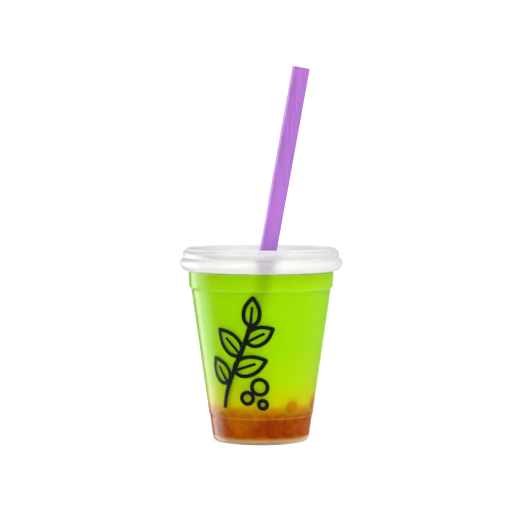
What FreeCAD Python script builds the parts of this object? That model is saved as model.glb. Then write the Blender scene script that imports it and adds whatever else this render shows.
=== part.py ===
"""A cup of green apple fruit tea: a clear tapered cold cup with a press-on flat lid, the tea in
it, a bed of fruit pearls on its floor, and a wide straw that leans in the lid's cross cut.

Millimetres, +Z up. The origin is on the cup's axis, on the surface that the cup stands on, and
the straw leans towards +X. The cup sets the places: the lid seats on its rim, the straw starts
above its floor, and the tea and the pearls fill it.
"""
import FreeCAD, Part

import math
import os

V = FreeCAD.Vector

# ---- cup: one formed sheet, sizes over its outside ----
CUP_HEIGHT = 119.5
CUP_WALL = 0.5
RIM_DIAMETER = 98.0          # over the rolled rim
ROLL_DIAMETER = 3.0          # section of the roll
COLLAR_HEIGHT = 22.5         # from the stacking ledge to the top of the rim
COLLAR_DRAFT = 2.0           # degrees
STACKING_STEP = 1.4          # step in under the collar
WALL_DRAFT = 8.2             # degrees
LOW_STEP_Z = 17.0            # fine step low on the wall
LOW_STEP = 0.5
HEEL_RADIUS = 2.8            # from the wall to the foot
FOOT_WIDTH = 3.2             # flat ring that the cup stands on
BASE_RECESS = 3.0            # the base stands this far above the foot

# ---- lid: one thinner sheet that is pressed over the rim ----
LID_WALL = 0.45
SEAT_GAP = 0.05              # between the lid and the roll
RING_RISE = 2.1              # stacking ring, above the rim
RING_WIDTH = 2.0
RING_DRAFT = 4.0             # degrees
PANEL_DROP = 5.5             # from the top of the ring down to the panel
CREASE_DEPTH = 0.4           # crease that catches under the roll
CREASE_DROP = 4.2            # from the rim down to the crease
SKIRT_BULGE = 2.4            # from the crease out to the skirt
SKIRT_BAND = 2.6             # upright band of the skirt
LIP_TURN = 2.4               # the lip turns in this far under the band

# ---- straw hole: a cross cut in a round boss, its four flaps pushed down by the straw ----
BOSS_RISE = 0.9
BOSS_MARGIN = 3.2            # from the corners of the cut to the edge of the boss
BOSS_SLOPE = 1.2
FOLD_CLEARANCE = 0.35        # between the straw and the fold of each flap
POINT_CLEARANCE = 0.15       # between the straw and the point of each flap
CUT_END_DIAMETER = 1.2       # round end of each cut

# ---- straw ----
STRAW_DIAMETER = 11.0
STRAW_WALL = 0.4
STRAW_LENGTH = 230.0
STRAW_LEAN = 10.2            # degrees from upright
STRAW_OFFSET = 4.0           # from the cup's axis to the straw's, at the boss
STRAW_POINT = 40.0           # degrees between the slanted end and the straw's side
STRAW_LIFT = 3.6             # from the cup's floor to the straw's point

# ---- tea and pearls ----
HEADSPACE = 12.5             # from the rim down to the tea
PEARL_DIAMETER = 9.4
PEARL_GAP = 0.7              # between neighbours in a ring
PEARL_ROWS = 3               # rows up the wall
PEARL_NESTING = 0.67         # height of a row, as a share of a pearl
PEARL_COVER = 0.25           # the packed core covers the pearls' middles by this share of a pearl
PEARL_LIE = 1.5              # the top of the bed lies this much higher and lower
PEARL_FILM = 0.15            # tea between the pearls and the cup
STRAW_SLEEVE = 0.8           # tea between the pearls and the straw


def tan(degrees):
    return math.tan(math.radians(degrees))


def cos(degrees):
    return math.cos(math.radians(degrees))


def sin(degrees):
    return math.sin(math.radians(degrees))


# ---- worked out: the cup ----
roll_r = ROLL_DIAMETER / 2
roll_middle_r = RIM_DIAMETER / 2 - roll_r
roll_z = CUP_HEIGHT - roll_r
neck_r = RIM_DIAMETER / 2 - ROLL_DIAMETER + CUP_WALL          # outside of the collar's top
ledge_z = CUP_HEIGHT - COLLAR_HEIGHT
ledge_r = neck_r - (roll_z - ledge_z) * tan(COLLAR_DRAFT)
wall_top_z = ledge_z - STACKING_STEP
wall_top_r = ledge_r - STACKING_STEP
wall_low_r = wall_top_r - (wall_top_z - LOW_STEP_Z) * tan(WALL_DRAFT)
heel_top_z = LOW_STEP_Z - 2 * LOW_STEP
heel_top_r = wall_low_r - LOW_STEP
heel_r = heel_top_r - heel_top_z * tan(WALL_DRAFT)
foot_bore_r = heel_r - HEEL_RADIUS - FOOT_WIDTH
floor_z = BASE_RECESS + CUP_WALL

# ---- worked out: what the lid, the straw and the pearls take from it ----
ring_top_z = CUP_HEIGHT + RING_RISE
panel_z = ring_top_z - PANEL_DROP
boss_z = panel_z + BOSS_RISE
straw_up = V(sin(STRAW_LEAN), 0, cos(STRAW_LEAN))
straw_r = STRAW_DIAMETER / 2
boss_r = (straw_r + FOLD_CLEARANCE) * math.sqrt(2) / cos(STRAW_LEAN) + BOSS_MARGIN
pearl_r = PEARL_DIAMETER / 2
pearl_pitch = PEARL_DIAMETER + PEARL_GAP
pearl_row_height = PEARL_DIAMETER * PEARL_NESTING
pearl_low_z = floor_z + pearl_r + PEARL_FILM                  # middle of the lowest row
pearl_top_z = pearl_low_z + pearl_row_height * (PEARL_ROWS - 1)


# ---- turned sheets: a path of (radius, height, corner radius), the first and last with no corner ----
def line(start, end):
    """No edge where two arcs meet."""
    return [Part.LineSegment(start, end).toShape()] if (end - start).Length > 1e-6 else []


def parallel(path, distance):
    """The path's line, rounded at its corners and moved to its left: its edges and its two ends."""
    corners = [V(r, 0, z) for r, z, _ in path]
    ways = [(b - a).normalize() for a, b in zip(corners, corners[1:])]
    sides = [V(-way.z, 0, way.x) for way in ways]
    mitres = [(a + b) * (1 / (1 + a.dot(b))) for a, b in zip(sides, sides[1:])]
    points = [c + m * distance for c, m in zip(corners, sides[:1] + mitres + sides[-1:])]
    edges = []
    start = points[0]
    for i, (_, _, corner) in enumerate(path[1:-1], 1):
        back, on = -ways[i - 1], ways[i]
        turns_left = sides[i - 1].x * sides[i].z > sides[i - 1].z * sides[i].x
        radius = corner - distance if turns_left else corner + distance
        half = back.getAngle(on) / 2
        first = points[i] + back * (radius / math.tan(half))
        last = points[i] + on * (radius / math.tan(half))
        top = points[i] + (back + on).normalize() * (radius / math.sin(half) - radius)
        edges += line(start, first)
        edges.append(Part.Arc(first, top, last).toShape())
        start = last
    return edges + line(start, points[-1]), points[0], points[-1]


def revolved(edges):
    face = Part.Face(Part.Wire(Part.__sortEdges__(edges)))
    return face.revolve(V(0, 0, 0), V(0, 0, 1), 360)


def sheet(path, wall):
    """A turned sheet with one face along the path. Its wall lies to the path's left."""
    near, near_start, near_end = parallel(path, 0)
    far, far_start, far_end = parallel(path, wall)
    return revolved(near + far + line(near_start, far_start) + line(near_end, far_end))


# ---- cup ----
def wall_path():
    """The cup's outside, from the middle of its base to the top of its collar."""
    return [
        (0, BASE_RECESS, None),
        (foot_bore_r, BASE_RECESS, 0.9),
        (foot_bore_r, 0, CUP_WALL + 0.3),
        (heel_r, 0, HEEL_RADIUS),
        (heel_top_r, heel_top_z, 0.6),
        (wall_low_r, LOW_STEP_Z, 0.8),
        (wall_top_r, wall_top_z, 0.6),
        (ledge_r, ledge_z, 1.0),
        (neck_r, roll_z - CUP_WALL, 4.0),
    ]


def roll_path():
    """On from the wall, up the inside of the roll and round it."""
    bore = roll_r - CUP_WALL
    return [
        (roll_middle_r - bore, roll_z + bore, bore),
        (roll_middle_r + bore, roll_z + bore, bore),
        (roll_middle_r + bore, roll_z - bore, bore),
        (roll_middle_r - bore / 2, roll_z - bore, None),
    ]


def cup():
    return sheet(wall_path() + roll_path(), CUP_WALL)


def cup_room(top_z):
    """The room in the cup, from its floor up to a height."""
    edges, low, high = parallel(wall_path(), CUP_WALL)
    axis_top = V(0, 0, high.z)
    room = revolved(edges + line(high, axis_top) + line(axis_top, low))
    return room.common(Part.makeCylinder(RIM_DIAMETER, top_z))


# ---- lid ----
def lid_path():
    """The lid's underside, from the middle of its panel, up and over the rim, to its lip."""
    panel_under = panel_z - LID_WALL
    ring_under = ring_top_z - LID_WALL
    seat_z = CUP_HEIGHT + SEAT_GAP
    seat_r = RIM_DIAMETER / 2 + SEAT_GAP
    crease_r = seat_r - CREASE_DEPTH
    crease_z = CUP_HEIGHT - CREASE_DROP
    skirt_r = crease_r + SKIRT_BULGE
    skirt_z = crease_z - SKIRT_BULGE * 0.8
    band_r = skirt_r + SKIRT_BAND * tan(RING_DRAFT)
    band_z = skirt_z - SKIRT_BAND
    ring_foot_r = roll_middle_r - roll_r * 0.4
    ring_out_r = ring_foot_r - (ring_under - seat_z) * tan(RING_DRAFT)
    ring_in_r = ring_out_r - RING_WIDTH
    panel_r = ring_in_r - (ring_under - panel_under) * tan(RING_DRAFT)
    return [
        (0, panel_under, None),
        (panel_r, panel_under, 1.2),
        (ring_in_r, ring_under, 0.5),
        (ring_out_r, ring_under, 0.5),
        (ring_foot_r, seat_z, 0.6),
        (seat_r, seat_z, roll_r + SEAT_GAP),
        (seat_r, roll_z - roll_r * 0.7, 0.5),
        (crease_r, crease_z, 0.8),
        (skirt_r, skirt_z, 1.6),
        (band_r, band_z, 2.0),
        (band_r - LIP_TURN, band_z - LIP_TURN * 1.3, None),
    ]


def boss_path():
    """The boss's underside, from its middle to where it joins the panel."""
    return [
        (0, boss_z - LID_WALL, None),
        (boss_r, boss_z - LID_WALL, 0.9),
        (boss_r + BOSS_SLOPE, panel_z - LID_WALL, 0.9),
        (boss_r + 2 * BOSS_SLOPE, panel_z - LID_WALL, None),
    ]


def fold_reach(out):
    """How far the fold in the level direction out lies from the middle of the cross cut."""
    return (straw_r + FOLD_CLEARANCE) / math.sqrt(1 - out.dot(straw_up) ** 2)


def flap(out):
    """One flap of the cross cut, pushed down till its point leans on the straw."""
    along = V(-out.y, out.x, 0)
    half_fold = along * (fold_reach(along) - CUT_END_DIAMETER)
    away = (out - straw_up * out.dot(straw_up)).normalize()
    fold = V(STRAW_OFFSET, 0, boss_z - LID_WALL / 2) + out * fold_reach(out)
    point = fold - straw_up * fold_reach(out) - away * (FOLD_CLEARANCE - POINT_CLEARANCE)
    outline = Part.makePolygon([fold - half_fold, fold + half_fold, point, fold - half_fold])
    return Part.Face(outline).extrude(away * LID_WALL)


def cross_cut():
    """What the flaps leave open: a square along the straw, and a round hole at each corner."""
    middle = V(STRAW_OFFSET, 0, boss_z) + straw_up * LID_WALL
    x = V(fold_reach(V(1, 0, 0)), 0, 0)
    y = V(0, fold_reach(V(0, 1, 0)), 0)
    corners = [middle + x + y, middle - x + y, middle - x - y, middle + x - y]
    through = straw_up * (-3 * LID_WALL)
    square = Part.Face(Part.makePolygon(corners + corners[:1])).extrude(through)
    ends = [
        Part.makeCylinder(CUT_END_DIAMETER / 2, through.Length, corner, through)
        for corner in corners
    ]
    return square.multiFuse(ends)


def lid():
    place = V(STRAW_OFFSET, 0, 0)
    below = V(STRAW_OFFSET, 0, panel_z - PANEL_DROP)
    boss_disc = Part.makeCylinder(boss_r + 2 * BOSS_SLOPE, 2 * PANEL_DROP, below)
    boss = sheet(boss_path(), LID_WALL).translated(place)
    flaps = [flap(out) for out in (V(1, 0, 0), V(0, 1, 0), V(-1, 0, 0), V(0, -1, 0))]
    whole = sheet(lid_path(), LID_WALL).cut(boss_disc).fuse(boss)
    return whole.cut(cross_cut()).multiFuse(flaps).removeSplitter()


# ---- straw ----
def set_in_cup(shape):
    """A shape made along +Z from the straw's lower end, leaned and put in its place."""
    low_z = floor_z + STRAW_LIFT + straw_r * sin(STRAW_LEAN)
    low_x = STRAW_OFFSET - (boss_z - low_z) * tan(STRAW_LEAN)
    return shape.rotated(V(0, 0, 0), V(0, 1, 0), STRAW_LEAN).translated(V(low_x, 0, low_z))


def straw():
    """A tube with a flat top and a slanted lower end."""
    tube = Part.makeCylinder(straw_r, STRAW_LENGTH)
    bore = Part.makeCylinder(straw_r - STRAW_WALL, STRAW_LENGTH)
    rise = STRAW_DIAMETER / tan(STRAW_POINT)
    front = V(straw_r + STRAW_DIAMETER, -STRAW_DIAMETER, -rise)
    back_low = V(straw_r - 2 * STRAW_DIAMETER, -STRAW_DIAMETER, -rise)
    back_high = V(straw_r - 2 * STRAW_DIAMETER, -STRAW_DIAMETER, 2 * rise)
    slant = Part.Face(Part.makePolygon([front, back_high, back_low, front]))
    return set_in_cup(tube.cut(bore).cut(slant.extrude(V(0, 2 * STRAW_DIAMETER, 0))))


def straw_room():
    """The room that the pearls leave round the straw, down to the cup's floor."""
    start = V(0, 0, -STRAW_DIAMETER - STRAW_LIFT)
    return set_in_cup(Part.makeCylinder(straw_r + STRAW_SLEEVE, STRAW_LENGTH, start))


# ---- pearls ----
def pearl_wall_r(z):
    """How far from the axis the middle of a pearl at the wall lies."""
    clear = (CUP_WALL + PEARL_FILM + pearl_r) / cos(WALL_DRAFT)
    return heel_top_r + (z - heel_top_z) * tan(WALL_DRAFT) - clear


def pearl(radius, angle, z):
    """A ball whose seam faces in and down, where the core covers it."""
    out = V(math.cos(angle), math.sin(angle), 0)
    along = V(-out.y, out.x, 0)
    turn = FreeCAD.Rotation(-out - V(0, 0, 1), V(), along, "ZXY")
    ball = Part.makeSphere(pearl_r)
    ball.Placement = FreeCAD.Placement(out * radius + V(0, 0, z), turn)
    return ball


def beside_straw(ball):
    """Whether a pearl's middle lies outside the straw's room. The straw pushes the others away."""
    from_axis = ball.Placement.Base - V(STRAW_OFFSET, 0, boss_z)
    return from_axis.cross(straw_up).Length > straw_r + STRAW_SLEEVE


def pearl_ring(count, radius, z, start, lie):
    """A ring of pearls that lies higher towards +X and -X. It starts that many pearls on from +X."""
    angles = [2 * math.pi * (i + start) / count for i in range(count)]
    rises = [lie * (0.7 * math.cos(2 * a) + 0.3 * math.sin(5 * a)) for a in angles]
    balls = [pearl(radius, a, z + rise) for a, rise in zip(angles, rises)]
    return [ball for ball in balls if beside_straw(ball)]


def pearls():
    """The bed as one solid: a packed core, and the pearls that show standing out of it."""
    balls = []
    wall_count = int(2 * math.pi * pearl_wall_r(pearl_low_z) / pearl_pitch)
    for row in range(PEARL_ROWS):
        z = pearl_low_z + row * pearl_row_height
        lie = PEARL_LIE if row == PEARL_ROWS - 1 else 0
        balls += pearl_ring(wall_count, pearl_wall_r(z), z, row / 2, lie)
    radius = pearl_wall_r(pearl_top_z) - pearl_pitch
    while radius > pearl_r:
        balls += pearl_ring(int(2 * math.pi * radius / pearl_pitch), radius, pearl_top_z, 0, PEARL_LIE / 2)
        radius -= pearl_pitch
    cover = PEARL_DIAMETER * PEARL_COVER
    low_r = pearl_wall_r(floor_z) + cover
    depth = pearl_top_z + cover - floor_z
    bed = Part.makeCone(low_r, low_r + depth * tan(WALL_DRAFT), depth, V(0, 0, floor_z))
    for ball in balls:
        bed = bed.fuse(ball)
    return bed.cut(straw_room())


# ---- tea ----
def tea(bed, tube):
    """Fills the cup up to its level round the pearls, and stands as high inside the straw."""
    return cup_room(CUP_HEIGHT - HEADSPACE).cut(bed).cut(tube)


bed = pearls()
tube = straw()
pieces = {"cup": cup(), "lid": lid(), "straw": tube, "pearls": bed, "tea": tea(bed, tube)}

os.makedirs("parts", exist_ok=True)
for name, piece in pieces.items():
    solid, = piece.Solids
    solid.exportStep(f"parts/{name}.step")
    print(f"{name}: {solid.Volume / 1000:.2f} ml, valid {solid.isValid()}, {solid.optimalBoundingBox()}")
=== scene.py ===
"""Green apple fruit tea in a clear cold cup, with fruit pearls, a flat lid and a wide lilac straw.

The cup, the lid and the straw keep the shapes of their solids and get their finishes here. The tea,
the bed of pearls and the print on the cup are made here at their true size. Everything rides on the
one body.
"""
import math
import random

import bpy
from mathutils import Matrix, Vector


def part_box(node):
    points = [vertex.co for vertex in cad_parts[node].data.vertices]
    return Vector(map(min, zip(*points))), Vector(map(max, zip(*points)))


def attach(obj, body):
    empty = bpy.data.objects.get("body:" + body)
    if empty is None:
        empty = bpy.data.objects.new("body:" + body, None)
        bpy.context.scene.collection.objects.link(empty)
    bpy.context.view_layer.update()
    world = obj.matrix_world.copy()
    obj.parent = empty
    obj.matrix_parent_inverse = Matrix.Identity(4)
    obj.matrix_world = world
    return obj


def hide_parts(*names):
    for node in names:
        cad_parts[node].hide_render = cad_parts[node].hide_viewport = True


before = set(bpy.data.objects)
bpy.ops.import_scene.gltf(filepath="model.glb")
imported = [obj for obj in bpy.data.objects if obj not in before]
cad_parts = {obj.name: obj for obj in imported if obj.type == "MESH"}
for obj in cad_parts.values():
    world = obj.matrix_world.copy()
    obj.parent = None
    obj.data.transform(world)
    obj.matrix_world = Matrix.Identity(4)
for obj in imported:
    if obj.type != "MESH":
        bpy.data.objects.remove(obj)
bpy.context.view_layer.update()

MM = 0.001
bpy.ops.object.select_all(action="DESELECT")


# ---------------------------------------------------------------- cup
# Formed from one clear PET sheet: a base pushed up inside a foot ring, a fine step low on the wall,
# a drafted wall, a stacking step under the collar, and a rim rolled outwards that the lid grips.
CUP_WALL = 0.5 * MM
WALL_DRAFT = math.radians(8.2)
LOW_STEP_Z = 17.0 * MM
LOW_STEP = 0.5 * MM
WALL_LOW_R = 33.04 * MM              # outside, at the low step
LEDGE_Z = 97.0 * MM                  # the stacking step's ledge
STACKING_STEP = 1.4 * MM
COLLAR_DRAFT = math.radians(2.0)
BASE_Z = 3.0 * MM
FOOT_BORE_R = 24.24 * MM
HEEL_ROUND = 2.8 * MM
CLEAR_PET = (0.985, 0.99, 0.985)
CUP_WAVES = 30 * MM
CUP_WAVE_DEPTH = 0.25 * MM
WAVE_DETAIL = 1.5
WAVE_STRENGTH = 0.6


def wall_r(z):
    """Outside of the drafted wall above the low step."""
    return WALL_LOW_R + (z - LOW_STEP_Z) * math.tan(WALL_DRAFT)


def principled(material):
    return material.node_tree.nodes["Principled BSDF"]


def finish(name, **values):
    """A new material with its shader's own sockets set: Base_Color stands for Base Color."""
    material = bpy.data.materials.new(name)
    material.use_nodes = True
    for socket, value in values.items():
        principled(material).inputs[socket.replace("_", " ")].default_value = value
    return material


def add_node(material, kind, inputs=None, **settings):
    """A node with its properties and its inputs set by name."""
    node = material.node_tree.nodes.new(kind)
    for setting, value in settings.items():
        setattr(node, setting, value)
    for socket, value in (inputs or {}).items():
        node.inputs[socket].default_value = value
    return node


def link(material, start, output, end, socket):
    material.node_tree.links.new(start.outputs[output], end.inputs[socket])


def wavy_sheet(material, size, depth):
    """The slow waves that a formed sheet shows in its reflections."""
    place = add_node(material, "ShaderNodeTexCoord")
    waves = add_node(material, "ShaderNodeTexNoise", {"Scale": 1 / size, "Detail": WAVE_DETAIL})
    bump = add_node(material, "ShaderNodeBump", {"Strength": WAVE_STRENGTH, "Distance": depth})
    link(material, place, "Object", waves, "Vector")
    link(material, waves, "Fac", bump, "Height")
    link(material, bump, "Normal", principled(material), "Normal")


clear_pet = finish(
    "clear_pet",
    Base_Color=(*CLEAR_PET, 1),
    Roughness=0.12,
    IOR=1.18,
    Specular_Tint=(0.3, 0.3, 0.3, 1),
    Transmission_Weight=1.0,
)
wavy_sheet(clear_pet, CUP_WAVES, CUP_WAVE_DEPTH)

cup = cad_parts["cup"]
cup.data.materials.clear()
cup.data.materials.append(clear_pet)


# ---------------------------------------------------------------- pearls
# Soft fruit pearls, amber and a little see-through, that have sunk to the cup's floor and lie in an
# uneven heap round the straw. No two are quite the same size.
PEARL_R = 4.7 * MM
PEARL_SPREAD = 0.25 * MM             # more or less, from pearl to pearl
PEARL_FLATTEST = 0.96                # how thin a pearl may be one way, as a share of its size
PEARL_COUNT = 77
START_REACH = 24                     # millimetres round the middle, where the pearls are let go
START_LOW = 6                        # millimetres up, for the first of them
START_RISE = 34                      # millimetres, how much higher the last of them starts
HEAP_STEPS = 240
SINK = 0.25 * MM                     # in one step
SLOWING = 6                          # the sinking slows over the last sixth of the steps
HEAP_CHOICE = 1462                   # lays one pearl high in front and one on the right
STRAW_R = 5.5 * MM
STRAW_LEAN = math.radians(10.2)
PEARL_AMBER = (0.72, 0.17, 0.001)
PEARL_RED = (0.50, 0.055, 0.001)
PEARL_PALE = (0.75, 0.33, 0.001)     # the pearls on top
PALE_FROM_Z = 14 * MM
PALE_FULL_Z = 26 * MM
BLOTCH = 15 * MM
BLOTCH_DETAIL = 1.5
BLOTCH_CHOICE = 1.0
RED_UP_TO = 0.36                     # of the noise that makes the blotches
AMBER_FROM = 0.62
# painted highlight: the glint of the wall's ledges, painted into the colour of the tea and the pearls
GLEAM = (0.50, 0.40, 0.05)
GLEAM_STRENGTH = 0.6
GLEAM_AT_Z = (LOW_STEP_Z - LOW_STEP, LEDGE_Z - LOW_STEP)
GLEAM_HALF = 0.6 * MM
GLEAM_TOP_Z = 120 * MM               # above the cup's rim
DARK = (0, 0, 0)
LIGHT = (1, 1, 1)
MIX_FACTOR = 0                       # the sockets of a node that mixes colours
MIX_BELOW = 6
MIX_ABOVE = 7
MIXED = 2

straw_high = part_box("straw")[1]
straw_up = Vector((math.sin(STRAW_LEAN), 0, math.cos(STRAW_LEAN)))
straw_top = Vector((
    straw_high[0] - STRAW_R * math.cos(STRAW_LEAN),
    0,
    straw_high[2] - STRAW_R * math.sin(STRAW_LEAN),
))
floor_z = BASE_Z + CUP_WALL
inside_low_r = wall_r(0) - LOW_STEP - CUP_WALL


def keep_inside(middle, radius):
    """Moves a pearl's middle clear of the floor, the wall and the straw."""
    middle.z = max(middle.z, floor_z + radius)
    reach = inside_low_r + middle.z * math.tan(WALL_DRAFT) - radius / math.cos(WALL_DRAFT)
    flat = Vector((middle.x, middle.y, 0))
    if flat.length > reach:
        middle -= flat * (1 - reach / flat.length)
    away = (middle - straw_top) - straw_up * (middle - straw_top).dot(straw_up)
    gap = away.length - STRAW_R - radius
    if gap < 0:
        middle -= away.normalized() * gap


def settled_heap(count, chance):
    """Middles and radii of pearls that have sunk and pushed each other apart."""
    heap = []
    for i in range(count):
        turn = chance.uniform(0, 2 * math.pi)
        out = math.sqrt(chance.random()) * START_REACH * MM
        up = (START_LOW + START_RISE * i / count) * MM
        middle = Vector((out * math.cos(turn), out * math.sin(turn), up))
        heap.append((middle, PEARL_R + chance.uniform(-1, 1) * PEARL_SPREAD))
    for step in range(HEAP_STEPS):
        sink = SINK * min(1, SLOWING * (1 - step / HEAP_STEPS))
        for middle, _ in heap:
            middle.z -= sink
        for i, (a, a_radius) in enumerate(heap):
            for b, b_radius in heap[:i]:
                apart = a - b
                overlap = a_radius + b_radius - apart.length
                if overlap > 0:
                    push = apart.normalized() * overlap / 2
                    a += push
                    b -= push
        for middle, radius in heap:
            keep_inside(middle, radius)
    return heap


def joined(pieces, name):
    """Joins pieces into one mesh, in the place of the first."""
    bpy.ops.object.select_all(action="DESELECT")
    for piece in pieces:
        piece.select_set(True)
    bpy.context.view_layer.objects.active = pieces[0]
    bpy.ops.object.join()
    bpy.context.object.name = name
    return bpy.context.object


chance = random.Random(HEAP_CHOICE)
heap = settled_heap(PEARL_COUNT, chance)
bpy.ops.mesh.primitive_ico_sphere_add(subdivisions=3, radius=PEARL_R)
pattern = bpy.context.object
bpy.ops.object.shade_smooth()
copies = []
for middle, radius in heap:
    pearl = pattern.copy()
    pearl.data = pattern.data.copy()
    bpy.context.collection.objects.link(pearl)
    size = radius / PEARL_R
    pearl.scale = [size * chance.uniform(PEARL_FLATTEST, 1.0) for _ in range(3)]
    pearl.rotation_euler = [chance.uniform(0, 2 * math.pi) for _ in range(3)]
    pearl.location = middle
    copies.append(pearl)
bpy.data.objects.remove(pattern)
pearls = joined(copies, "fruit_pearls")
bpy.ops.object.transform_apply(location=True, rotation=True, scale=True)


def height_share(material, from_z, to_z):
    """How far a place lies on the way from one height to another, as a node with its output."""
    place = add_node(material, "ShaderNodeTexCoord")
    split = add_node(material, "ShaderNodeSeparateXYZ")
    share = add_node(material, "ShaderNodeMapRange", {"From Min": from_z, "From Max": to_z})
    link(material, place, "Object", split, "Vector")
    link(material, split, "Z", share, "Value")
    return share, "Result"


def coloured_by(material, share, stops):
    """Colours that blend from stop to stop as a share grows. Both are nodes with their outputs."""
    ramp = add_node(material, "ShaderNodeValToRGB")
    marks = ramp.color_ramp.elements
    for mark, (at, colour) in zip(marks, (stops[0], stops[-1])):
        mark.position = at
        mark.color = (*colour, 1)
    for at, colour in stops[1:-1]:
        mark = marks.new(at)
        mark.color = (*colour, 1)
    link(material, *share, ramp, "Fac")
    return ramp, "Color"


def laid_over(material, below, above, mask, reach=1.0, blend="MIX"):
    """Lays a plain colour, or a node with its output, over what is below as far as a mask says."""
    strength = add_node(
        material, "ShaderNodeMapRange", {"To Max": reach}, interpolation_type="SMOOTHSTEP"
    )
    mix = add_node(material, "ShaderNodeMix", data_type="RGBA", blend_type=blend)
    link(material, *mask, strength, "Value")
    link(material, strength, "Result", mix, MIX_FACTOR)
    link(material, *below, mix, MIX_BELOW)
    if isinstance(above[0], float):
        mix.inputs[MIX_ABOVE].default_value = (*above, 1)
    else:
        link(material, *above, mix, MIX_ABOVE)
    return mix, MIXED


def amber_blotches(material, pale):
    """Red and amber patches that run on from pearl to pearl, and pale towards the top."""
    place = add_node(material, "ShaderNodeTexCoord")
    blotches = add_node(
        material,
        "ShaderNodeTexNoise",
        {"Scale": 1 / BLOTCH, "Detail": BLOTCH_DETAIL, "W": BLOTCH_CHOICE},
        noise_dimensions="4D",
    )
    link(material, place, "Object", blotches, "Vector")
    stops = ((RED_UP_TO, PEARL_RED), (AMBER_FROM, PEARL_AMBER))
    tint = coloured_by(material, (blotches, "Fac"), stops)
    return laid_over(material, tint, pale, height_share(material, PALE_FROM_Z, PALE_FULL_Z))


def painted_ledge_glint(material, below):
    """A painted highlight: a fine glint at each ledge of the wall, painted over what is seen through
    it.
    """
    stops = [(0, DARK)]
    for ledge_z in GLEAM_AT_Z:
        for away, shown in ((-GLEAM_HALF, DARK), (0, LIGHT), (GLEAM_HALF, DARK)):
            stops.append(((ledge_z + away) / GLEAM_TOP_Z, shown))
    stops.append((1, DARK))
    ledges = coloured_by(material, height_share(material, 0, GLEAM_TOP_Z), stops)
    return laid_over(material, below, GLEAM, ledges, GLEAM_STRENGTH, "SCREEN")


amber_pearl = finish(
    "amber_pearl",
    Roughness=0.35,
    Specular_IOR_Level=0.0,
    Subsurface_Weight=0.8,
    Subsurface_Scale=4 * MM,
    Subsurface_Radius=(1.0, 0.35, 0.05),
)
# the pearls' colour, with the ledges' painted highlight over it
tint = painted_ledge_glint(amber_pearl, amber_blotches(amber_pearl, PEARL_PALE))
link(amber_pearl, *tint, principled(amber_pearl), "Base Color")
pearls.data.materials.append(amber_pearl)
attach(pearls, "root")
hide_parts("pearls")


# ---------------------------------------------------------------- tea
# Green apple tea that fills the cup to just under the lid and creeps up its wall a little. It is
# cloudy a few millimetres in, so it is made as a clear skin that reaches just into the cup's wall
# and a cloudy body in it. On the body are painted an amber glow near the pearls, a shade along the
# straw, light at the foot and glints at the wall's ledges.
TEA_SIDES = 160
RING_STEP = 1.5 * MM
SMOOTH_UP_TO = math.radians(35)
INTO_WALL = 0.15 * MM
MENISCUS = 0.7 * MM
MENISCUS_REACH = 0.5 * MM            # from the wall to where about a third of it is left
MENISCUS_RINGS = (0.2 * MM, 0.6 * MM, 1.2 * MM, 2.5 * MM)
TOP_RINGS = (0.7, 0.4, 0.15)         # on the level top, as shares of its radius
BASE_ROUND = 0.8 * MM
GROOVE_ROUND = 0.3 * MM
HEEL_STEPS = 6
SKIN_WALL_Z = 4 * MM                 # where the wall starts above the heel
BODY_WALL_Z = 8 * MM                 # the same, for the cloudy body
CLEAR_DEPTH = 2.6 * MM               # from the wall to the cloudy body
CLEAR_ABOVE = 1.2 * MM               # the same above the pearls
CLEAR_CHANGE_Z = (30 * MM, 46 * MM)  # between these the one changes to the other
CLEAR_TOP = 0.8 * MM
TOP_EDGE = 0.97                      # the ring next to the body's edge, as a share of its radius
FOOT_DEPTH = 0.8 * MM                # as CLEAR_DEPTH, in the foot's groove
FOOT_TOP = 1.8 * MM                  # the foot is painted pale up to here: painted light that its groove gathers from the table
FOOT_BLEND = 2.5 * MM                # from there up to the pearls' full painted glow
GLOW_REACH = 3.5 * MM                # round each pearl, how far its painted glow reaches
SHADE_REACH = 8 * MM                 # either side of the straw: a painted shade for the straw seen dimly through the tea
SHADE_FROM_Z = 66 * MM
SHADE_FULL_Z = 94 * MM
SHADE_STRENGTH = 0.9
TEA_TINT = (0.93, 0.96, 0.35)
TEA_TINT_DENSITY = 40.0
CLOUD_LIME = (0.47, 0.92, 0.0)
CLOUD_LOW = (0.60, 0.92, 0.0)
CLOUD_DEEP = (0.48, 0.88, 0.0)
CLOUD_YELLOW = (0.80, 0.78, 0.0)
CLOUD_AMBER = (0.74, 0.34, 0.0)
CLOUD_BED = (0.66, 0.14, 0.0)
CLOUD_HONEY = (0.77, 0.55, 0.0)      # the painted glow round the top pearls
# painted light: the pale foot, lit by what its groove gathers from the white table
FOOT_PAINTED_LIGHT = (0.96, 0.62, 0.24)
CLOUD_SHADE = (0.33, 0.66, 0.0)
CLOUD_PALE = (0.62, 0.92, 0.20)      # the top two millimetres, which light comes into from above
CLOUD_LAYERS = (                     # from the foot up, at heights in millimetres
    (4.5, CLOUD_BED),
    (19, CLOUD_BED),
    (22, CLOUD_AMBER),
    (25.5, CLOUD_YELLOW),
    (39, CLOUD_LOW),
    (62, CLOUD_LIME),
    (90, CLOUD_LIME),
    (105.4, CLOUD_DEEP),
)

tea_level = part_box("tea")[1][2]


def clamped(share):
    return max(0.0, min(1.0, share))


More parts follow.
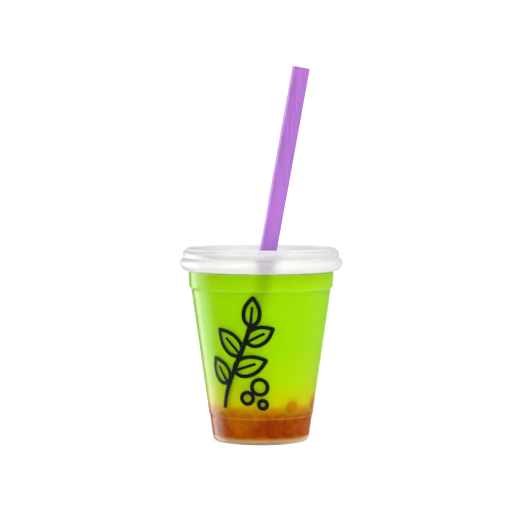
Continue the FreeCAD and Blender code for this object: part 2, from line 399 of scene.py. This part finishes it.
def wall_rings(inset, low_z, high_z):
    """Rings of (radius, height) up the inside of the cup's wall, that far in from its outside."""
    slope = math.tan(WALL_DRAFT)
    heel_top_z = LOW_STEP_Z - 2 * LOW_STEP
    heel_r = WALL_LOW_R - LOW_STEP - heel_top_z * slope
    ledge_r = wall_r(LEDGE_Z - STACKING_STEP) + STACKING_STEP
    corners = [
        (heel_r + low_z * slope, low_z),
        (WALL_LOW_R - LOW_STEP, heel_top_z),
        (WALL_LOW_R, LOW_STEP_Z),
        (wall_r(LEDGE_Z - STACKING_STEP), LEDGE_Z - STACKING_STEP),
        (ledge_r, LEDGE_Z),
        (ledge_r + (high_z - LEDGE_Z) * math.tan(COLLAR_DRAFT), high_z),
    ]
    rings = []
    for (r, z), (next_r, next_z) in zip(corners, corners[1:]):
        count = max(1, round((next_z - z) / RING_STEP))
        for i in range(count):
            rings.append((r + (next_r - r) * i / count - inset, z + (next_z - z) * i / count))
    return rings + [(corners[-1][0] - inset, high_z)]


def foot_rings(inset):
    """Rings from the middle of the floor out, down into the foot's groove and up its heel."""
    heel_round = HEEL_ROUND - inset
    groove_out_r = wall_rings(inset, 0, tea_level)[0][0] - heel_round
    bore_r = FOOT_BORE_R + inset
    rings = [
        (FOOT_BORE_R - BASE_ROUND, BASE_Z + inset),
        (bore_r, BASE_Z + inset - BASE_ROUND),
        (bore_r, inset + GROOVE_ROUND),
        (bore_r + GROOVE_ROUND, inset),
    ]
    for step in range(HEEL_STEPS + 1):
        turn = math.radians(90) * step / HEEL_STEPS
        rings.append((
            groove_out_r + heel_round * math.sin(turn),
            inset + heel_round * (1 - math.cos(turn)),
        ))
    return rings


def turned_body(name, rings):
    """A closed round body, extruded from its lowest ring on through the others."""
    first_r, first_z = rings[0]
    bpy.ops.mesh.primitive_circle_add(
        vertices=TEA_SIDES, radius=first_r, fill_type="NGON", location=(0, 0, first_z)
    )
    bpy.ops.object.transform_apply(location=True, rotation=True, scale=True)
    bpy.ops.object.mode_set(mode="EDIT")
    for (r, z), (next_r, next_z) in zip(rings, rings[1:]):
        bpy.ops.mesh.extrude_region_move(TRANSFORM_OT_translate={"value": (0, 0, next_z - z)})
        spread = next_r / r
        bpy.ops.transform.resize(value=(spread, spread, 1), center_override=(0, 0, 0))
    bpy.ops.mesh.select_all(action="SELECT")
    bpy.ops.mesh.normals_make_consistent(inside=False)
    bpy.ops.object.mode_set(mode="OBJECT")
    bpy.ops.object.shade_smooth_by_angle(angle=SMOOTH_UP_TO)
    body = bpy.context.object
    body.name = name
    return body


skin = CUP_WALL - INTO_WALL
rings = foot_rings(skin) + wall_rings(skin, SKIN_WALL_Z, tea_level + MENISCUS)
wall_top_r = rings[-1][0]
for away in MENISCUS_RINGS:
    rings.append((wall_top_r - away, tea_level + MENISCUS * math.exp(-away / MENISCUS_REACH)))
rings += [(wall_top_r * share, tea_level) for share in TOP_RINGS]
tea_skin = turned_body("tea_skin", rings)

clear_tea = finish(
    "clear_tea",
    Base_Color=(1, 1, 1, 1),
    Roughness=0.0,
    IOR=1.33,
    Specular_Tint=(0, 0, 0, 1),
    Transmission_Weight=1.0,
)
depth = add_node(
    clear_tea, "ShaderNodeVolumeAbsorption", {"Color": (*TEA_TINT, 1), "Density": TEA_TINT_DENSITY}
)
link(clear_tea, depth, "Volume", clear_tea.node_tree.nodes["Material Output"], "Volume")
tea_skin.data.materials.append(clear_tea)
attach(tea_skin, "root")
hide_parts("tea")

body_top = tea_level - CLEAR_TOP
rings = foot_rings(CUP_WALL + FOOT_DEPTH)
change_from, change_to = CLEAR_CHANGE_Z
for r, z in wall_rings(CUP_WALL + CLEAR_DEPTH, BODY_WALL_Z, body_top):
    changed = clamped((z - change_from) / (change_to - change_from))
    rings.append((r + (CLEAR_DEPTH - CLEAR_ABOVE) * changed, z))
rings += [(rings[-1][0] * share, body_top) for share in (TOP_EDGE, *TOP_RINGS)]
tea_body = turned_body("tea_body", rings)

painted_pearl_glow = tea_body.data.attributes.new("painted_pearl_glow", "FLOAT", "POINT")
painted_straw_shade = tea_body.data.attributes.new("painted_straw_shade", "FLOAT", "POINT")
for vertex in tea_body.data.vertices:
    gap = min((vertex.co - middle).length - radius for middle, radius in heap)
    above_foot = clamped((vertex.co.z - FOOT_TOP) / FOOT_BLEND)
    painted_pearl_glow.data[vertex.index].value = clamped(1 - gap / GLOW_REACH) * above_foot
    straw_x = straw_top.x - (straw_top.z - vertex.co.z) * math.tan(STRAW_LEAN)
    beside = clamped(1 - abs(vertex.co.x - straw_x) / SHADE_REACH)
    high = clamped((vertex.co.z - SHADE_FROM_Z) / (SHADE_FULL_Z - SHADE_FROM_Z))
    painted_straw_shade.data[vertex.index].value = beside * high

cloudy_tea = finish(
    "cloudy_tea",
    Roughness=1.0,
    Specular_IOR_Level=0.0,
    Subsurface_Weight=0.7,
    Subsurface_Scale=4 * MM,
    Subsurface_Radius=(1.0, 1.0, 0.1),
)
stops = [(FOOT_TOP / tea_level, FOOT_PAINTED_LIGHT)]
stops += [(z * MM / tea_level, colour) for z, colour in CLOUD_LAYERS]
stops += [(1, CLOUD_PALE)]
tint = coloured_by(cloudy_tea, height_share(cloudy_tea, 0, tea_level), stops)
# painted shade: a darker band painted on the cloudy body along the straw
by_straw = add_node(cloudy_tea, "ShaderNodeAttribute", attribute_name="painted_straw_shade")
tint = laid_over(cloudy_tea, tint, CLOUD_SHADE, (by_straw, "Fac"), SHADE_STRENGTH)
# painted glow: amber painted on the cloudy body near each pearl
by_pearls = add_node(cloudy_tea, "ShaderNodeAttribute", attribute_name="painted_pearl_glow")
glow = amber_blotches(cloudy_tea, CLOUD_HONEY)
# the ledges' painted highlight, over the cloudy body's colour
tint = painted_ledge_glint(cloudy_tea, laid_over(cloudy_tea, tint, glow, (by_pearls, "Fac")))
link(cloudy_tea, *tint, principled(cloudy_tea), "Base Color")
tea_body.data.materials.append(cloudy_tea)
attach(tea_body, "root")
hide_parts("tea")


# ---------------------------------------------------------------- print
# A leafy sprig with three small rings, printed in one black ink on the front of the cup, left of its
# middle. It is drawn flat with a round pen and wrapped on the wall, from which it stands a little.
PRINT_TURN = math.radians(-109)      # the print's middle, round from +X
PRINT_Z = 53 * MM
STEM_PEN = 2.9 * MM
LEAF_PEN = 2.4 * MM
VEIN_PEN = 1.7 * MM
PEN_ROUNDNESS = 2
INK_FLAT = 0.05                      # the ink's thickness, as a share of the pen's width
INK_PROUD = 0.05 * MM
STEM_LINE = ((-13, -30), (-12, -17), (-4, -4), (3, 9), (7, 23))
LEAVES = (                           # foot across and up, length, width, turn from upright
    (7, 22, 18, 10, -8),
    (4, 12, 19, 10.5, -64),
    (0, 4, 21, 11, 42),
    (-5, -6, 22, 11.5, -72),
    (-10, -14, 18, 10.5, 30),
)
LEAF_BELLY = 0.42                    # of its length, where the leaf is widest
BELLY_CURVE = 0.30                   # of its length, how far the outline runs on along the belly
TIP_CURVE = (0.14, -0.12)            # of its width and length, how the outline leaves the tip
FOOT_CURVE = (-0.22, 0.06)           # the same, for the foot
VEIN_LINE = (0, 0.2, 0.4, 0.55, 0.68)    # of the leaf's length
SMALL_RINGS = ((11, -16, 4.8), (3, -23, 3.6), (12.5, -27, 2.6))      # across, up, radius
MERGE_GAP = 0.001 * MM
BLACK_INK = (0.002, 0.006, 0.002)


def inked(width):
    """Gives the curve in hand the pen's width and returns it as a mesh."""
    bpy.context.object.data.bevel_depth = width / 2
    bpy.context.object.data.bevel_resolution = PEN_ROUNDNESS
    bpy.context.object.data.use_fill_caps = True
    bpy.ops.object.convert(target="MESH")
    bpy.ops.object.transform_apply(location=True, rotation=True, scale=True)
    return bpy.context.object


def inked_line(points, place, turn, width):
    """A smooth open line that starts and ends at the first and last of five points."""
    bpy.ops.curve.primitive_nurbs_path_add(location=place, rotation=(0, 0, turn))
    line = bpy.context.object.data.splines[0]
    for point, (across, up) in zip(line.points, points):
        point.co = (across, up, 0, 1)
    return inked(width)


def inked_leaf(place, turn, length, width):
    """A leaf's outline, from its foot at that place to its tip."""
    bpy.ops.curve.primitive_bezier_circle_add(location=place, rotation=(0, 0, turn))
    outline = bpy.context.object.data.splines[0].bezier_points
    belly = LEAF_BELLY * length
    corners = (
        ((-width / 2, belly), (0, BELLY_CURVE * length)),
        ((0, length), (TIP_CURVE[0] * width, TIP_CURVE[1] * length)),
        ((width / 2, belly), (0, -BELLY_CURVE * length)),
        ((0, 0), (FOOT_CURVE[0] * width, FOOT_CURVE[1] * length)),
    )
    for point, (at, ahead) in zip(outline, corners):
        sharp = at[0] == 0
        point.handle_left_type = point.handle_right_type = "FREE"
        point.co = (*at, 0)
        point.handle_right = (at[0] + ahead[0], at[1] + ahead[1], 0)
        behind = (-ahead[0], ahead[1]) if sharp else (-ahead[0], -ahead[1])
        point.handle_left = (at[0] + behind[0], at[1] + behind[1], 0)
    return inked(LEAF_PEN)


strokes = [inked_line([(x * MM, y * MM) for x, y in STEM_LINE], (0, 0, 0), 0, STEM_PEN)]
for across, up, length, width, turn in LEAVES:
    foot = (across * MM, up * MM, 0)
    strokes.append(inked_leaf(foot, math.radians(turn), length * MM, width * MM))
    vein = [(0, length * MM * share) for share in VEIN_LINE]
    strokes.append(inked_line(vein, foot, math.radians(turn), VEIN_PEN))
for across, up, radius in SMALL_RINGS:
    bpy.ops.curve.primitive_bezier_circle_add(radius=radius * MM, location=(across * MM, up * MM, 0))
    strokes.append(inked(LEAF_PEN))
cup_print = joined(strokes, "leaf_print")
for vertex in cup_print.data.vertices:
    across, up, out = vertex.co
    r = wall_r(PRINT_Z + up)
    turn = PRINT_TURN + across / r
    r += INK_PROUD + out * INK_FLAT
    vertex.co = (r * math.cos(turn), r * math.sin(turn), PRINT_Z + up)
bpy.ops.object.mode_set(mode="EDIT")
bpy.ops.mesh.select_all(action="SELECT")
bpy.ops.mesh.remove_doubles(threshold=MERGE_GAP)
bpy.ops.mesh.normals_make_consistent(inside=False)
bpy.ops.object.mode_set(mode="OBJECT")
bpy.ops.object.shade_smooth()

black_ink = finish("black_ink", Base_Color=(*BLACK_INK, 1), Roughness=0.5, Specular_IOR_Level=0.1)
cup_print.data.materials.append(black_ink)
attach(cup_print, "root")


# ---------------------------------------------------------------- lid
# One thin, milky clear sheet, formed with a recessed panel and pressed over the cup's rolled rim. Its
# haze pales what lies behind it.
HAZY_PET = (0.98, 0.975, 0.99)
LID_WAVES = 12 * MM
LID_WAVE_DEPTH = 0.12 * MM

hazy_pet = finish(
    "hazy_pet",
    Base_Color=(*HAZY_PET, 1),
    Roughness=0.28,
    IOR=1.3,
    Specular_Tint=(0.6, 0.6, 0.6, 1),
    Transmission_Weight=0.81,
)
wavy_sheet(hazy_pet, LID_WAVES, LID_WAVE_DEPTH)
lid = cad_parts["lid"]
lid.data.materials.clear()
lid.data.materials.append(hazy_pet)


# ---------------------------------------------------------------- straw
# A wide tube of extruded lilac plastic, opaque and half glossy, with the faint lengthwise streaks of
# its die. It leans in the lid's cross cut, and its slanted end stands among the pearls.
STRAW_LILAC = (0.22, 0.066, 0.32)
STRAW_PALE = (0.36, 0.135, 0.48)
STRAW_LIT = (0.46, 0.16, 0.64)       # low down, where light comes up through the lid
LIT_FROM_Z = 185 * MM
LIT_FULL_Z = 125 * MM
LIT_STRENGTH = 0.5
STREAK_WIDE = 1.3 * MM
STREAK_LONG = 90 * MM
STREAK_DETAIL = 2.0
RIDGE_DEPTH = 0.05 * MM
RIDGE_STRENGTH = 0.3

lilac_plastic = finish(
    "lilac_plastic",
    Roughness=0.4,
    Subsurface_Weight=0.2,
    Subsurface_Scale=3 * MM,
)
place = add_node(lilac_plastic, "ShaderNodeTexCoord")
along = add_node(
    lilac_plastic,
    "ShaderNodeMapping",
    {
        "Rotation": (0, -STRAW_LEAN, 0),
        "Scale": (1 / STREAK_WIDE, 1 / STREAK_WIDE, 1 / STREAK_LONG),
    },
)
streaks = add_node(lilac_plastic, "ShaderNodeTexNoise", {"Scale": 1.0, "Detail": STREAK_DETAIL})
lilac = add_node(lilac_plastic, "ShaderNodeMix", data_type="RGBA")
lilac.inputs[MIX_BELOW].default_value = (*STRAW_LILAC, 1)
lilac.inputs[MIX_ABOVE].default_value = (*STRAW_PALE, 1)
ridges = add_node(
    lilac_plastic, "ShaderNodeBump", {"Strength": RIDGE_STRENGTH, "Distance": RIDGE_DEPTH}
)
link(lilac_plastic, place, "Object", along, "Vector")
link(lilac_plastic, along, "Vector", streaks, "Vector")
link(lilac_plastic, streaks, "Fac", lilac, MIX_FACTOR)
link(lilac_plastic, streaks, "Fac", ridges, "Height")
low = height_share(lilac_plastic, LIT_FROM_Z, LIT_FULL_Z)
tint = laid_over(lilac_plastic, (lilac, MIXED), STRAW_LIT, low, LIT_STRENGTH)
link(lilac_plastic, *tint, principled(lilac_plastic), "Base Color")
link(lilac_plastic, ridges, "Normal", principled(lilac_plastic), "Normal")
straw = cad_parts["straw"]
straw.data.materials.clear()
straw.data.materials.append(lilac_plastic)


# ---------------------------------------------------------------- table, light and camera
# A white table in a white room that is brighter on the right. What reflects it sees it dim in
# front and pale behind, with a tall soft window behind on the left.
TABLE_SIZE = 12.0                    # metres, as the other lengths of this section
ROOM_LEFT = 0.85
ROOM_RIGHT = 1.35
GLOSS_FRONT = 0.1
GLOSS_BACK = 1.0
BACK_FROM = 0.82                     # how far a direction points back where the pale part starts
BACK_FULL = 0.97
BELOW_FROM = 0.3                     # the same, for a direction that points down at the table
BELOW_FULL = 0.6
WINDOW_GLOW = 7.5
WINDOW_TURN = math.radians(27)       # behind the cup's left side
WINDOW_DROP = math.radians(8)
WINDOW_CORE = math.radians(6)
WINDOW_EDGE = math.radians(33)
SOFT_LIGHTS = (                      # name, place, what it points at, size, watts
    ("fill", (0.9, -0.7, 0.5), (0, 0, 0.06), 0.8, 4.6),
    ("front", (-0.5, -0.9, 0.35), (0, 0, 0.14), 0.6, 2.0),
)
SUN_TILT = (math.radians(12), math.radians(-8), 0)
SUN_STRENGTH = 1.0
SUN_SPREAD = math.radians(70)
CAMERA_PLACE = (-3.2 * MM, -1.24, 0.181)
CAMERA_TILT = math.radians(87.0)     # from straight down
CAMERA_LENS = 138.4                  # in millimetres, as its sensor
CAMERA_SENSOR = 36.0

bpy.ops.mesh.primitive_plane_add(size=TABLE_SIZE, location=(0, 0, 0))
table = bpy.context.object
table.name = "table"
table.data.materials.append(finish(
    "table_white",
    Base_Color=(0.9, 0.9, 0.9, 1),
    Roughness=0.9,
    Emission_Color=(1, 1, 1, 1),
    Emission_Strength=0.25,
))
table.visible_glossy = False

world = bpy.data.worlds.new("white_room")
bpy.context.scene.world = world
world.use_nodes = True
background = world.node_tree.nodes["Background"]
background.inputs["Color"].default_value = (1, 1, 1, 1)
way = add_node(world, "ShaderNodeTexCoord")
parts = add_node(world, "ShaderNodeSeparateXYZ")
room = add_node(
    world, "ShaderNodeMapRange", {"From Min": -1.0, "To Min": ROOM_LEFT, "To Max": ROOM_RIGHT}
)
behind = add_node(
    world,
    "ShaderNodeMapRange",
    {"From Min": BACK_FROM, "From Max": BACK_FULL, "To Min": GLOSS_FRONT, "To Max": GLOSS_BACK},
    interpolation_type="SMOOTHSTEP",
)
below = add_node(
    world,
    "ShaderNodeMapRange",
    {"From Min": -BELOW_FROM, "From Max": -BELOW_FULL, "To Max": GLOSS_BACK},
    interpolation_type="SMOOTHSTEP",
)
pale = add_node(world, "ShaderNodeMath", operation="MAXIMUM")
facing = add_node(world, "ShaderNodeVectorMath", operation="DOT_PRODUCT")
facing.inputs[1].default_value = (
    -math.cos(WINDOW_TURN) * math.cos(WINDOW_DROP),
    math.sin(WINDOW_TURN) * math.cos(WINDOW_DROP),
    -math.sin(WINDOW_DROP),
)
window = add_node(
    world,
    "ShaderNodeMapRange",
    {
        "From Min": math.cos(WINDOW_EDGE),
        "From Max": math.cos(WINDOW_CORE),
        "To Max": WINDOW_GLOW,
    },
    interpolation_type="SMOOTHSTEP",
)
in_gloss = add_node(world, "ShaderNodeMath", operation="ADD")
ray = add_node(world, "ShaderNodeLightPath")
mirrored = add_node(world, "ShaderNodeMath", operation="MULTIPLY")
strength = add_node(world, "ShaderNodeMix")
link(world, way, "Generated", parts, "Vector")
link(world, parts, "X", room, "Value")
link(world, parts, "Y", behind, "Value")
link(world, way, "Generated", facing, 0)
link(world, facing, "Value", window, "Value")
link(world, parts, "Z", below, "Value")
link(world, behind, "Result", pale, 0)
link(world, below, "Result", pale, 1)
link(world, pale, "Value", in_gloss, 0)
link(world, window, "Result", in_gloss, 1)
link(world, ray, "Is Glossy Ray", mirrored, 0)
link(world, ray, "Is Reflection Ray", mirrored, 1)
link(world, mirrored, "Value", strength, "Factor")
link(world, room, "Result", strength, "A")
link(world, in_gloss, "Value", strength, "B")
link(world, strength, "Result", background, "Strength")


def soft_light(name, place, towards, size, power):
    """A square soft panel of light, lit on the side that faces its target."""
    bpy.ops.object.light_add(type="AREA", location=place)
    light = bpy.context.object
    light.name = name
    light.data.size = size
    light.data.energy = power
    light.visible_glossy = False
    light.rotation_euler = (Vector(towards) - Vector(place)).to_track_quat("-Z", "Y").to_euler()


for settings in SOFT_LIGHTS:
    soft_light(*settings)
bpy.ops.object.light_add(type="SUN", rotation=SUN_TILT)
overhead = bpy.context.object
overhead.name = "overhead"
overhead.data.energy = SUN_STRENGTH
overhead.data.angle = SUN_SPREAD

bpy.ops.object.camera_add(location=CAMERA_PLACE, rotation=(CAMERA_TILT, 0, 0))
camera = bpy.context.object
camera.data.lens = CAMERA_LENS
camera.data.sensor_width = CAMERA_SENSOR
bpy.context.scene.camera = camera
bpy.context.scene.view_settings.view_transform = "Standard"
